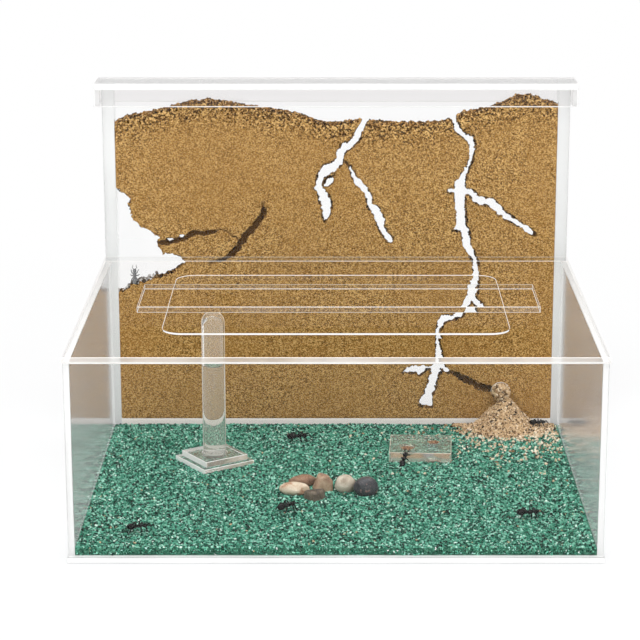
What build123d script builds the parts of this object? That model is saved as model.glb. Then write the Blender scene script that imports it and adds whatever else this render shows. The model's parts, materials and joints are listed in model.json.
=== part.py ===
from build123d import *
import math
import os
import random

# An ant habitat of clear sheet: a low arena in front, a tall thin sand nest behind it.
# Millimetres. +X is to the right, +Y to the back, +Z up. The origin is on the floor,
# under the middle of the whole habitat. "Depth" is measured back from the arena's front.

# Arena, the open box in front
sheet = 3.0  # thickness of the sheet that box, nest and lid are cut from
arena_width = 250.0
arena_depth = 200.0  # front of the front wall to the front of the nest
arena_height = 100.0  # underside of the base to the top of the top plate
plate_lip = 0.5  # how far base and top plate stand proud of the walls
opening_margin = 42.0  # top plate left round the opening
opening_radius = 10.0

# Loose strip that covers part of the opening
cover_length = 198.0
cover_width = 46.0
cover_thickness = 3.0
cover_front = 80.0  # depth of its front edge
cover_shift = 1.3  # off centre, to the right

# Nest, two panes with sand between them
nest_height = 192.0  # floor to the panes' top edge
nest_gap = 10.0  # between the panes
side_spacer_width = 6.3
bottom_spacer_height = 4.7
entrance_radius = 5.2  # hole from the nest to the arena
entrance_inset = 34.2  # from the nest's right side
entrance_z = 23.4
headroom = 4.8  # between the highest sand and the lid

# Nest lid, a shallow box that drops over the nest
lid_gap = 1.0  # between the nest and each skirt
skirt_height = 9.5
lid_round = 1.2  # rounded outer edges

# Green sand bed in the arena
bed_front = 3.6  # thickness at the front wall
bed_back = 2.0  # thickness at the nest
sink = 0.5  # how deep flat-bottomed things press into the bed
seat_gap = 0.3  # between a thing and the side of its seat in the bed

# Shallow round hollows in rows over the open sand, where it has been walked and blown about
hollow_spacing = 18.0
hollow_width = 15.0
hollow_depth = 0.9
hollow_stray = 1.4  # how far each may lie off its place in the row

# Drinker: a tube of water upside down in a stepped stand
stand_x = -63.5
stand_depth = 133.0
stand_turn = 34.0  # degrees about Z
lower_side = 30.0
upper_side = 25.0
stand_sheet = 3.0
tube_diameter = 12.0
tube_length = 79.0
tube_wall = 1.0
tube_dome_wall = 2.4
moat = 0.5  # ring of water round the tube where the ants drink
water_height = 52.0
water_gap = 0.05

# Feeder: a block with two wells for seeds
feeder_x = 44.8
feeder_depth = 147.3
feeder_turn = -3.0
feeder_length = 32.5
feeder_width = 31.5
feeder_height = 6.0
well_radius = 4.1
well_floor = 3.0  # left under each well
well_offset = (6.9, 5.5)  # from the block's middle, one well each way
seed_size = (3.0, 1.8, 1.5)
seeds_round = 5  # in a ring round one seed in the middle
seed_ring = 2.55
seed_rise = 0.02  # running room between seeds and the well's floor

# Heap of sand that the ants have carried out of the entrance
heap_half_widths = (19.0, 9.8, 1.9)  # at its foot, half way up and at its tip
heap_reach = 31.0  # from the nest into the arena
heap_height = 21.0  # tip above the floor
heap_shift = 2.0  # tip to the right of the entrance
plug_gap = 0.2

# Pebbles: name, form, x, depth, turn, length, width, height
pebbles = (
    ("pebble_brown", "round", -16.6, 95.2, 8.0, 15.6, 8.0, 6.6),
    ("pebble_rose_white", "round", -20.9, 82.6, -10.0, 15.4, 8.6, 7.0),
    ("pebble_wedge", "wedge", -7.1, 88.2, 8.0, 10.6, 8.0, 9.6),
    ("pebble_slate", "flat", -10.4, 72.6, 0.0, 12.6, 8.4, 6.4),
    ("pebble_cream", "round", 4.6, 86.6, 12.0, 11.2, 9.2, 9.6),
    ("pebble_charcoal", "round", 14.9, 80.8, -6.0, 13.0, 9.8, 10.2),
)
pebble_sink = 1.2
pebble_round = 1.6  # rounding of the two angular pebbles
# Their outlines, as shares of half the length and half the height or width: the wedge
# seen from the front, the flat one from above with one corner to the front
wedge_outline = ((-1.0, -1.0), (1.0, -1.0), (1.0, 0.3), (0.5, 1.0), (-0.3, 0.9))
flat_outline = ((-1.0, 1.0), (1.0, 0.8), (0.55, -0.4), (-0.1, -1.0), (-0.8, -0.1))

# Crest of the nest's sand from spacer to spacer, seen from the front: x, z. Every outline
# in the sand stretches with the nest, from the width and the height of this one.
sand_crest = (
    (-118.7, 172.0), (-117.5, 173.0), (-106.3, 176.8), (-97.6, 178.6), (-70.4, 184.6),
    (-52.9, 182.4), (-30.7, 178.8), (-16.1, 175.6), (-6.4, 172.2), (8.7, 173.2),
    (24.9, 172.6), (44.0, 172.2), (61.1, 174.6), (67.1, 177.4), (82.2, 180.6),
    (101.2, 187.2), (110.3, 185.4), (118.7, 182.4),
)

# The chamber dug out beside the left spacer: x, z
chamber = (
    (-118.7, 137.9), (-116.0, 135.3), (-112.2, 132.1), (-111.1, 130.4), (-112.5, 128.4),
    (-111.1, 123.9), (-111.1, 120.7), (-105.7, 115.8), (-99.9, 112.7), (-95.9, 110.1),
    (-97.4, 107.8), (-96.8, 105.3), (-94.5, 101.0), (-87.1, 100.4), (-82.5, 96.1),
    (-85.1, 93.5), (-93.6, 89.0), (-99.9, 88.7), (-104.0, 87.0), (-110.8, 83.8),
    (-118.7, 80.7),
)

# Galleries right through the sand: each point is x, z, width
galleries = (
    (  # from the crest down to the small chamber
        (16.4, 178.0, 3.6), (15.6, 174.5, 3.2), (13.9, 171.0, 2.8), (12.0, 166.7, 3.6),
        (8.3, 161.4, 3.9), (4.2, 159.9, 4.4), (2.3, 156.5, 3.7), (1.8, 152.1, 4.0),
        (-0.2, 149.7, 5.0), (-5.0, 147.8, 5.8), (-8.2, 143.9, 4.2), (-9.4, 139.5, 3.0),
        (-8.4, 135.7, 4.2), (-5.8, 130.8, 6.3), (-5.0, 127.4, 5.6), (-5.5, 123.5, 4.2),
        (-6.2, 118.6, 0.6),
    ),
    ((-8.2, 137.2, 2.6), (-11.0, 136.9, 1.6), (-14.2, 136.8, 0.6)),
    ((-7.4, 138.0, 0.5), (-4.6, 140.0, 2.6), (-2.6, 141.8, 2.4), (-1.1, 143.4, 0.5)),
    (  # its right branch
        (4.0, 153.1, 0.8), (6.9, 149.7, 1.2), (9.5, 144.8, 2.2), (12.5, 139.5, 2.4),
        (16.4, 135.6, 3.0), (18.3, 131.7, 3.0), (18.5, 127.9, 3.6), (22.7, 124.0, 4.2),
        (23.9, 120.1, 4.4), (24.6, 115.8, 3.6), (27.5, 111.4, 3.6), (29.4, 109.1, 3.4),
        (30.4, 107.9, 1.6),
    ),
    (  # the main gallery, from the crest to the low chamber
        (62.8, 180.0, 3.6), (63.1, 177.0, 3.3), (63.6, 173.4, 2.6), (65.6, 168.9, 2.8),
        (68.4, 166.1, 2.8), (72.4, 164.9, 4.0), (73.4, 161.4, 2.8), (73.3, 157.3, 2.2),
        (72.8, 153.3, 1.6), (70.7, 148.3, 2.0), (68.6, 143.8, 3.0), (66.9, 139.2, 5.5),
        (66.6, 135.2, 6.0), (67.1, 130.2, 5.5), (67.6, 125.7, 5.2), (67.9, 120.7, 5.0),
        (68.2, 116.6, 5.5), (70.2, 113.1, 4.6), (70.9, 109.1, 4.0), (71.2, 105.1, 3.3),
        (73.3, 102.4, 3.0), (75.4, 97.4, 3.2), (76.7, 91.8, 3.0), (76.0, 86.2, 4.2),
        (76.0, 81.8, 5.6), (73.9, 76.8, 4.0), (71.4, 71.8, 3.6), (67.6, 66.8, 3.4),
        (63.3, 64.9, 3.0), (59.5, 64.9, 4.0), (57.3, 61.8, 3.0), (56.1, 57.5, 2.4),
        (55.7, 52.5, 1.8), (56.4, 47.5, 2.6), (57.0, 41.9, 4.2), (56.1, 37.5, 5.5),
        (54.2, 32.5, 5.2), (52.7, 26.3, 5.2), (50.8, 21.3, 5.0), (49.6, 17.2, 6.6),
        (49.2, 14.8, 8.6),
    ),
    ((66.9, 136.6, 3.0), (63.2, 136.0, 2.6), (60.3, 136.0, 2.2)),
    ((67.8, 116.6, 5.4), (65.2, 114.8, 2.6), (62.1, 113.1, 0.6)),
    (  # the right branch of the main gallery
        (67.5, 134.8, 4.4), (69.9, 135.0, 3.8), (73.2, 135.0, 3.4), (75.4, 131.7, 4.2),
        (79.0, 130.2, 4.6), (83.5, 129.9, 4.4), (87.0, 126.7, 3.8), (91.0, 122.7, 3.4),
        (96.5, 119.4, 2.8), (101.6, 116.1, 2.4), (106.1, 113.1, 1.8), (109.6, 110.1, 0.6),
    ),
    ((74.4, 76.6, 3.4), (77.0, 73.1, 3.0), (79.6, 70.9, 3.3), (81.2, 69.8, 2.0)),
    ((57.4, 37.8, 3.6), (60.2, 35.6, 2.4), (62.6, 34.1, 1.0)),
    (
        (56.0, 36.6, 2.6), (51.4, 36.9, 2.4), (47.7, 35.9, 3.4), (42.1, 35.7, 4.0),
        (38.4, 34.6, 2.4), (36.4, 33.5, 1.0),
    ),
    ((46.6, 35.6, 3.0), (45.7, 33.4, 2.0), (45.3, 31.6, 0.6)),
)
gallery_dip = 9.0  # degrees that the diggings fall towards the back pane

# Diggings that only groove the front of the sand
crack_depth = 3.0
cracks = (
    (
        (-96.8, 107.3, 1.6), (-92.0, 107.3, 1.9), (-87.4, 108.4, 1.5), (-82.2, 109.2, 1.5),
        (-77.1, 113.0, 1.9), (-71.4, 112.4, 1.6), (-63.4, 114.1, 1.2), (-59.3, 112.7, 1.0),
        (-51.9, 109.0, 0.8),
    ),
)
groove_depth = 4.0
grooves = (
    (
        (-39.6, 128.2, 0.8), (-39.0, 124.4, 2.0), (-41.6, 119.8, 2.2), (-45.1, 115.3, 2.7),
        (-48.5, 111.8, 2.4), (-50.8, 108.4, 2.3), (-55.3, 102.1, 2.0), (-61.1, 97.6, 1.6),
        (-68.5, 95.3, 1.0),
    ),
    (
        (63.9, 34.1, 0.8), (67.0, 32.5, 2.0), (72.0, 30.0, 2.8), (77.6, 26.9, 3.0),
        (82.0, 25.3, 2.6), (88.0, 24.4, 2.4),
    ),
)

# Places that follow from the sizes above
nest_depth = 2 * sheet + nest_gap
lid_overhang = lid_gap + sheet
total_depth = plate_lip + arena_depth + nest_depth + lid_overhang
front_y = plate_lip - total_depth / 2
nest_y = front_y + arena_depth  # front face of the front pane
sand_y = nest_y + sheet  # front face of the nest's sand
half_width = arena_width / 2
inner_half = half_width - sheet
sand_half = half_width - side_spacer_width
entrance_x = half_width - entrance_inset
wall_top = arena_height - sheet
bed_floor = sheet
lid_underside = nest_height


def slab(x, y, z):
    """A block from its low and high limits along each axis."""
    size = [high - low for low, high in (x, y, z)]
    middle = [(high + low) / 2 for low, high in (x, y, z)]
    return Pos(*middle) * Box(*size)


def facing(points):
    """The flat outline with these (x, z) points, in the front plane of the nest's sand."""
    corners = [(x, sand_y, z) for x, z in points]
    return make_face(Polyline(*corners, close=True))


def bed_top(depth):
    """Height of the sand bed's surface."""
    share = (depth - sheet) / (arena_depth - sheet)
    return bed_floor + bed_front + (bed_back - bed_front) * share


# Arena


def base_plate():
    x = (-half_width - plate_lip, half_width + plate_lip)
    return slab(x, (front_y - plate_lip, nest_y + nest_depth), (0, sheet))


def front_wall():
    return slab((-half_width, half_width), (front_y, front_y + sheet), (sheet, wall_top))


def side_wall(side):
    x = sorted((side * inner_half, side * half_width))
    return slab(x, (front_y + sheet, nest_y), (sheet, wall_top))


def top_plate():
    x = (-half_width - plate_lip, half_width + plate_lip)
    plate = slab(x, (front_y - plate_lip, nest_y), (wall_top, arena_height))
    opening = Pos(0, front_y + arena_depth / 2, wall_top + sheet / 2) * Box(
        arena_width - 2 * opening_margin, arena_depth - 2 * opening_margin, 2 * sheet
    )
    return plate - fillet(opening.edges().filter_by(Axis.Z), opening_radius)


def cover_strip():
    x = (cover_shift - cover_length / 2, cover_shift + cover_length / 2)
    y = (front_y + cover_front, front_y + cover_front + cover_width)
    return slab(x, y, (arena_height, arena_height + cover_thickness))


# Nest


def entrance(radius, y, length):
    """A cylinder along the entrance hole, from y towards the back."""
    lying = Rot(-90, 0, 0) * Cylinder(radius, length)
    return Pos(entrance_x, y + length / 2, entrance_z) * lying


def nest_front_pane():
    pane = slab((-half_width, half_width), (nest_y, sand_y), (sheet, nest_height))
    return pane - entrance(entrance_radius, nest_y - sheet, 3 * sheet)


def nest_back_pane():
    y = sand_y + nest_gap
    return slab((-half_width, half_width), (y, y + sheet), (sheet, nest_height))


def side_spacer(side):
    x = sorted((side * sand_half, side * half_width))
    return slab(x, (sand_y, sand_y + nest_gap), (sheet, nest_height))


def bottom_spacer():
    z = (sheet, sheet + bottom_spacer_height)
    return slab((-sand_half, sand_half), (sand_y, sand_y + nest_gap), z)


def stretched(points):
    """Points of the sand's outlines, fitted to the nest's width and height."""
    wide = sand_half / sand_crest[-1][0]
    high = (nest_height - headroom) / max(z for x, z in sand_crest)
    return [(x * wide, z * high, *width) for x, z, *width in points]


def digging(points):
    """The outline of a gallery of changing width along a path of (x, z, width) points."""
    path = stretched(points)
    left, right = [], []
    for behind, (x, z, width), ahead in zip([path[0]] + path, path, path[1:] + [path[-1]]):
        run = math.hypot(ahead[0] - behind[0], ahead[1] - behind[1])
        across_x = (behind[1] - ahead[1]) / run * width / 2
        across_z = (ahead[0] - behind[0]) / run * width / 2
        left.append((x + across_x, z + across_z))
        right.append((x - across_x, z - across_z))
    return facing(left + right[::-1])


def dug(outline, reach):
    """The outline cut back into the sand, falling towards the back pane."""
    fall = math.tan(math.radians(gallery_dip))
    path = Vector(0, reach, -reach * fall)
    return extrude(outline, path.length, dir=path.normalized())


def nest_sand():
    """The nest's sand with its crest, its chamber, its galleries and its grooves."""
    floor = sheet + bottom_spacer_height
    top = [(x, sand_y, z) for x, z in stretched(sand_crest)]
    bottom = [(sand_half, sand_y, floor), (-sand_half, sand_y, floor)]
    rim = Polyline(top[-1], *bottom, top[0])
    sand = extrude(make_face(Spline(*top) + rim), nest_gap, dir=(0, 1, 0))
    hollow = stretched(chamber)
    behind_spacer = [(-half_width, hollow[-1][1]), (-half_width, hollow[0][1])]
    through = [facing(hollow + behind_spacer)] + [digging(path) for path in galleries]
    for outline in through:
        sand -= dug(outline, nest_gap + sheet)
    for path in cracks:
        sand -= dug(digging(path), crack_depth)
    for path in grooves:
        sand -= dug(digging(path), groove_depth)
    return sand


# Lid


lid_half = half_width + lid_overhang
lid_y = (nest_y - lid_overhang, nest_y + nest_depth + lid_overhang)
skirt_z = (lid_underside - skirt_height, lid_underside)


def lid_top():
    plate = slab((-lid_half, lid_half), lid_y, (lid_underside, lid_underside + sheet))
    upright = plate.edges().filter_by(Axis.Z)
    plate = fillet(upright, lid_round)
    return fillet(plate.faces().sort_by(Axis.Z)[-1].edges(), lid_round / 2)


def lid_long_skirt(back):
    y = (lid_y[1] - sheet, lid_y[1]) if back else (lid_y[0], lid_y[0] + sheet)
    skirt = slab((-lid_half, lid_half), y, skirt_z)
    outer = skirt.edges().filter_by(Axis.Z).sort_by(Axis.Y)
    return fillet(outer[-2:] if back else outer[:2], lid_round)


def lid_end_skirt(side):
    x = sorted((side * (lid_half - sheet), side * lid_half))
    return slab(x, (lid_y[0] + sheet, lid_y[1] - sheet), skirt_z)


# Things in the arena


def on_bed(x, depth, z, turn=0.0):
    """A place in the arena, turned about the vertical."""
    return Pos(x, front_y + depth, z) * Rot(0, 0, turn)


stand_z = bed_top(stand_depth) - sink
stand_place = on_bed(stand_x, stand_depth, stand_z, stand_turn)
feeder_z = bed_top(feeder_depth) - sink
feeder_place = on_bed(feeder_x, feeder_depth, feeder_z, feeder_turn)


def standing(length, width, height):
    """A block that stands on its place."""
    return Pos(0, 0, height / 2) * Box(length, width, height)


def stand_lower():
    return stand_place * standing(lower_side, lower_side, stand_sheet)


def stand_upper():
    plate = standing(upper_side, upper_side, stand_sheet)
    plate -= Pos(0, 0, stand_sheet / 2) * Cylinder(tube_diameter / 2 + moat, 2 * stand_sheet)
    return stand_place * Pos(0, 0, stand_sheet) * plate


def round_ended(radius, top):
    """A rod standing on its flat end, with a round top."""
    rod = Pos(0, 0, (top - radius) / 2) * Cylinder(radius, top - radius)
    return rod + Pos(0, 0, top - radius) * Sphere(radius)


def drinker_tube():
    outer = round_ended(tube_diameter / 2, tube_length)
    bore = round_ended(tube_diameter / 2 - tube_wall, tube_length - tube_dome_wall)
    return stand_place * Pos(0, 0, stand_sheet) * (outer - bore)


def drinker_water():
    radius = tube_diameter / 2 - tube_wall - water_gap
    column = Pos(0, 0, water_height / 2) * Cylinder(radius, water_height)
    return stand_place * Pos(0, 0, stand_sheet) * column


def well_places():
    dx, dy = well_offset
    return [Pos(side * dx, side * dy, well_floor) for side in (-1, 1)]


def feeder_block():
    block = standing(feeder_length, feeder_width, feeder_height)
    for place in well_places():
        block -= place * Pos(0, 0, feeder_height / 2) * Cylinder(well_radius, feeder_height)
    return feeder_place * block


def feeder_seeds():
    """Seeds on the floor of both wells, in a ring round a middle one."""
    seed = scale(Sphere(0.5), by=seed_size)
    rest = seed_size[2] / 2 + seed_rise
    seeds = []
    for place in well_places():
        seeds.append(feeder_place * place * Pos(0, 0, rest) * seed)
        for i in range(seeds_round):
            spot = Rot(0, 0, 360 / seeds_round * i) * Pos(seed_ring, 0, rest)
            seeds.append(feeder_place * place * spot * Rot(0, 0, 90) * seed)
    return Compound(children=seeds)


def round_pebble(length, width, height):
    return scale(Sphere(0.5), by=(length, width, height))


def wedge_pebble(length, width, height):
    """An upright stone with a broad back and a slope down to the left."""
    corners = [(x * length / 2, width / 2, z * height / 2) for x, z in wedge_outline]
    block = extrude(make_face(Polyline(*corners, close=True)), width, dir=(0, -1, 0))
    return fillet(block.edges(), pebble_round)


def flat_pebble(length, width, height):
    """A three-cornered stone that lies with one corner to the front."""
    corners = [(x * length / 2, y * width / 2, -height / 2) for x, y in flat_outline]
    block = extrude(make_face(Polyline(*corners, close=True)), height, dir=(0, 0, 1))
    return fillet(block.edges(), pebble_round)


pebble_forms = {"round": round_pebble, "wedge": wedge_pebble, "flat": flat_pebble}


def pebble(row, grow=0.0):
    """One pebble in its place, or with grow the room that it needs."""
    form, x, depth, turn, length, width, height = row[1:]
    middle = bed_top(depth) - pebble_sink + height / 2
    stone = pebble_forms[form](length + 2 * grow, width + 2 * grow, height + 2 * grow)
    return on_bed(x, depth, middle, turn) * stone


def bed_side(limit):
    """The outline between the bed's sloping surface and a level, seen from the side."""
    front, back = front_y + sheet, nest_y
    corners = (
        (-inner_half, front, limit), (-inner_half, back, limit),
        (-inner_half, back, bed_top(arena_depth)), (-inner_half, front, bed_top(sheet)),
    )
    return make_face(Polyline(*corners, close=True))


def furniture():
    """What stands on the sand: x, depth and how far round it the sand is level."""
    taken = [
        (stand_x, stand_depth, math.hypot(lower_side, lower_side) / 2),
        (feeder_x, feeder_depth, math.hypot(feeder_length, feeder_width) / 2),
        (entrance_x + heap_shift, arena_depth, heap_reach),
    ]
    return taken + [(x, depth, length / 2) for _, _, x, depth, _, length, _, _ in pebbles]


def hollows():
    """A ball for each shallow hollow, in rows, where nothing stands."""
    ball = (hollow_width ** 2 / 4 + hollow_depth ** 2) / (2 * hollow_depth)
    stray = random.Random(6)
    columns = int((2 * inner_half - hollow_width) // hollow_spacing) + 1
    rows = int((arena_depth - sheet - hollow_width) // hollow_spacing) + 1
    balls = []
    for row in range(rows):
        for column in range(columns):
            x = (column - (columns - 1) / 2) * hollow_spacing
            depth = (sheet + arena_depth) / 2 + (row - (rows - 1) / 2) * hollow_spacing
            x += stray.uniform(-hollow_stray, hollow_stray)
            depth += stray.uniform(-hollow_stray, hollow_stray)
            room = [math.hypot(x - a, depth - b) - reach for a, b, reach in furniture()]
            if min(room) > hollow_width / 2:
                balls.append(on_bed(x, depth, bed_top(depth) - hollow_depth + ball) * Sphere(ball))
    return balls


def sand_bed():
    """The green sand, with its hollows and a seat for each thing that stands in it."""
    bed = extrude(bed_side(bed_floor), 2 * inner_half, dir=(1, 0, 0))
    lower = lower_side + 2 * seat_gap
    bed -= stand_place * standing(lower, lower, stand_sheet)
    bed -= feeder_place * standing(
        feeder_length + 2 * seat_gap, feeder_width + 2 * seat_gap, feeder_height
    )
    for row in pebbles:
        bed -= pebble(row, seat_gap)
    for ball in hollows():
        bed -= ball
    return bed


def sand_heap():
    """Sand spilling from the entrance: a plug in the hole, its bulge, and the heap."""
    foot, waist, tip = heap_half_widths
    rings = []
    for half_wide, level in (
        (foot, bed_floor), (waist, (bed_floor + heap_height) / 2), (tip, heap_height)
    ):
        rings.append(Pos(0, 0, level) * Ellipse(half_wide, half_wide * heap_reach / foot))
    plug_radius = entrance_radius - plug_gap
    room = extrude(bed_side(nest_height), 2 * inner_half, dir=(1, 0, 0))
    heap = Pos(entrance_x + heap_shift, nest_y, 0) * loft(rings) & room
    heap += Pos(entrance_x, nest_y, entrance_z) * Sphere(plug_radius) & room
    return heap + entrance(plug_radius, nest_y, sheet)


nodes = {
    "base_plate": base_plate(),
    "arena_front_wall": front_wall(),
    "arena_left_wall": side_wall(-1),
    "arena_right_wall": side_wall(1),
    "arena_top_plate": top_plate(),
    "cover_strip": cover_strip(),
    "nest_front_pane": nest_front_pane(),
    "nest_back_pane": nest_back_pane(),
    "nest_left_spacer": side_spacer(-1),
    "nest_right_spacer": side_spacer(1),
    "nest_bottom_spacer": bottom_spacer(),
    "nest_sand": nest_sand(),
    "lid_top": lid_top(),
    "lid_front_skirt": lid_long_skirt(back=False),
    "lid_back_skirt": lid_long_skirt(back=True),
    "lid_left_skirt": lid_end_skirt(-1),
    "lid_right_skirt": lid_end_skirt(1),
    "sand_bed": sand_bed(),
    "sand_heap": sand_heap(),
    "stand_lower": stand_lower(),
    "stand_upper": stand_upper(),
    "drinker_tube": drinker_tube(),
    "drinker_water": drinker_water(),
    "feeder_block": feeder_block(),
    "feeder_seeds": feeder_seeds(),
}
for row in pebbles:
    nodes[row[0]] = pebble(row)

os.makedirs("parts", exist_ok=True)
for name, solid in nodes.items():
    export_step(solid, f"parts/{name}.step")
print(len(nodes), "nodes written")
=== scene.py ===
import bpy
import bmesh
import json
import math
import random
import numpy as np
from mathutils import Matrix, Vector, noise
from mathutils.bvhtree import BVHTree


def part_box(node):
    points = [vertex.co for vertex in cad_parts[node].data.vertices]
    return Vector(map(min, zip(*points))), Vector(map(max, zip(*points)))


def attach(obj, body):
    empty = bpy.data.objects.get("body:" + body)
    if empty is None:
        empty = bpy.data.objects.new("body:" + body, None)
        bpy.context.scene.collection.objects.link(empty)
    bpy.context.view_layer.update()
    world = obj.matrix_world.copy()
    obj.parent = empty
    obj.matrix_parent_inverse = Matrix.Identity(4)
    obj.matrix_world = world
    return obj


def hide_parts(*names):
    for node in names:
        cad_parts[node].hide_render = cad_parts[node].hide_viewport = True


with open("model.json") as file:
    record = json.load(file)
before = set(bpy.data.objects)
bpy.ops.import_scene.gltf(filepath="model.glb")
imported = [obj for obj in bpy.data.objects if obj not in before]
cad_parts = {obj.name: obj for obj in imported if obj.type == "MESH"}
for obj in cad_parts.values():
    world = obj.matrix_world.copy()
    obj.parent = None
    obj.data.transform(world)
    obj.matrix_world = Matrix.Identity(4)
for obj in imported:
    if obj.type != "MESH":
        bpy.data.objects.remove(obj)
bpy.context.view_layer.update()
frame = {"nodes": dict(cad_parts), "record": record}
nodes = frame["nodes"]
bodyOf = {node: body for body, held in frame["record"]["behaviour"]["bodies"].items() for node in held}
mm = 0.001


def linear(red, green, blue):
    # screen colour in 0..255 to the linear colour that sockets take
    def one(value):
        value /= 255
        return value / 12.92 if value <= 0.04045 else ((value + 0.055) / 1.055) ** 2.4
    return (one(red), one(green), one(blue), 1.0)


# small helpers for meshes and node trees


def addNode(tree, kind, inputs=None, **settings):
    node = tree.nodes.new("ShaderNode" + kind)
    for key, value in settings.items():
        setattr(node, key, value)
    for key, value in (inputs or {}).items():
        if isinstance(value, bpy.types.NodeSocket):
            tree.links.new(value, node.inputs[key])
        else:
            node.inputs[key].default_value = value
    return node


def addRamp(tree, factor, stops, blend="LINEAR"):
    ramp = addNode(tree, "ValToRGB", {"Fac": factor})
    ramp.color_ramp.interpolation = blend
    points = ramp.color_ramp.elements
    while len(points) < len(stops):
        points.new(0.5)
    for point, (place, colour) in zip(points, stops):
        point.position = place
        point.color = colour
    return ramp.outputs["Color"]


def grey(value):
    return (value, value, value, 1.0)


def tones(*stops):
    # a ramp's stops, from places and screen colours
    return [(place, linear(*colour)) for place, *colour in stops]


def dyed(stops, strength):
    # the same stops, lighter or darker
    return [(place, tuple(min(1.0, part * strength) for part in tone[:3]) + (1.0,)) for place, tone in stops]


def calc(tree, operation, *values):
    return addNode(tree, "Math", dict(enumerate(values)), operation=operation).outputs[0]


def ranged(tree, value, start, end, low=0.0, high=1.0, clamp=True):
    inputs = {"Value": value, "From Min": start, "From Max": end, "To Min": low, "To Max": high}
    return addNode(tree, "MapRange", inputs, clamp=clamp).outputs[0]


def cloudsAt(tree, place, scale, detail=2.0, roughness=0.5, distortion=0.0):
    inputs = {"Vector": place, "Scale": scale, "Detail": detail, "Roughness": roughness,
              "Distortion": distortion}
    return addNode(tree, "TexNoise", inputs).outputs["Fac"]


def cellsAt(tree, place, size):
    return addNode(tree, "TexVoronoi", {"Vector": place, "Scale": 1 / size, "Randomness": 1.0}).outputs


def mixed(tree, share, first, second, blend="MIX"):
    inputs = {0: share, 6: first, 7: second}
    return addNode(tree, "Mix", inputs, data_type="RGBA", blend_type=blend).outputs[2]


def eitherShader(tree, share, first, second):
    return addNode(tree, "MixShader", {0: share, 1: first, 2: second}).outputs[0]


def raised(tree, height, strength, distance, invert=False):
    inputs = {"Height": height, "Strength": strength, "Distance": distance}
    return addNode(tree, "Bump", inputs, invert=invert).outputs["Normal"]


def opaque(tree, colour, roughness, normal=None, gloss=0.5):
    inputs = {"Base Color": colour, "Roughness": roughness, "Specular IOR Level": gloss}
    if normal is not None:
        inputs["Normal"] = normal
    return addNode(tree, "BsdfPrincipled", inputs).outputs[0]


def newMaterial(name):
    material = bpy.data.materials.new(name)
    material.use_nodes = True
    material.node_tree.nodes.clear()
    return material, material.node_tree


def objectPlace(tree, scale=1.0):
    coords = addNode(tree, "TexCoord").outputs["Object"]
    return addNode(tree, "Mapping", {"Vector": coords, "Scale": (scale,) * 3}).outputs["Vector"]


def closeMaterial(tree, shader):
    addNode(tree, "OutputMaterial", {"Surface": shader})


def cadCopy(node):
    # the node's mesh with its loose triangles merged
    bm = bmesh.new()
    bm.from_mesh(nodes[node].data)
    bmesh.ops.remove_doubles(bm, verts=bm.verts, dist=1e-6)
    return bm


def meshOf(bm, name):
    mesh = bpy.data.meshes.new(name)
    bm.to_mesh(mesh)
    bm.free()
    return mesh


def linked(name, data):
    made = bpy.data.objects.new(name, data)
    bpy.context.scene.collection.objects.link(made)
    return made


def discard(piece):
    mesh = piece.data
    bpy.data.objects.remove(piece)
    bpy.data.meshes.remove(mesh)


def addPiece(name, shape, materials, body, replaced=(), smoothAngle=None):
    mesh = meshOf(shape, name) if isinstance(shape, bmesh.types.BMesh) else shape
    mesh.name = name
    for material in materials:
        mesh.materials.append(material)
    if smoothAngle is not None:
        mesh.shade_smooth()
        mesh.set_sharp_from_angle(angle=math.radians(smoothAngle))
    piece = linked(name, mesh)
    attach(piece, body)
    if replaced:
        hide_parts(*replaced)
    return piece


def settled(draft):
    # the mesh that a draft's modifiers give, without the draft
    shown = draft.evaluated_get(bpy.context.evaluated_depsgraph_get())
    made = bpy.data.meshes.new_from_object(shown)
    discard(draft)
    made.materials.clear()
    return made


def remeshed(bm, voxel, smoothing=0, cutter=None):
    # an even mesh of the shape, less the cutter's
    draft = linked("draft", meshOf(bm, "draft"))
    if cutter:
        taken = linked("taken", meshOf(cutter, "taken"))
        cut = draft.modifiers.new("cut", "BOOLEAN")
        cut.operation = "DIFFERENCE"
        cut.solver = "EXACT"
        cut.object = taken
        cut.use_self = True
    remesh = draft.modifiers.new("voxels", "REMESH")
    remesh.mode = "VOXEL"
    remesh.voxel_size = voxel
    if smoothing:
        draft.modifiers.new("smooth", "SMOOTH").iterations = smoothing
    made = settled(draft)
    if cutter:
        discard(taken)
    return made


def thinned(mesh, keep):
    # fewer faces where the shape is flat
    draft = linked("draft", mesh)
    draft.modifiers.new("fewer", "DECIMATE").ratio = keep
    return settled(draft)


def points(mesh):
    found = np.empty(len(mesh.vertices) * 3, np.float32)
    mesh.vertices.foreach_get("co", found)
    return found.reshape(-1, 3)


def normals(mesh):
    found = np.empty(len(mesh.vertices) * 3, np.float32)
    mesh.vertex_normals.foreach_get("vector", found)
    return found.reshape(-1, 3)


def setPoints(mesh, places):
    mesh.vertices.foreach_set("co", places.astype(np.float32).ravel())
    mesh.update()


def noiseAt(places, scale, seed=0.0):
    shift = Vector((seed, seed * 1.7, -seed))
    return np.array([noise.noise(Vector(p) * scale + shift) for p in places.tolist()])


def castOn(node):
    # a tree of the node's faces, to find its surface
    return BVHTree.FromBMesh(cadCopy(node))


def below(tree, x, y, top):
    # where the surface lies under a point, or None
    return tree.ray_cast(Vector((x, y, top)), Vector((0, 0, -1)))[0]


# clear sheet

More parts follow.
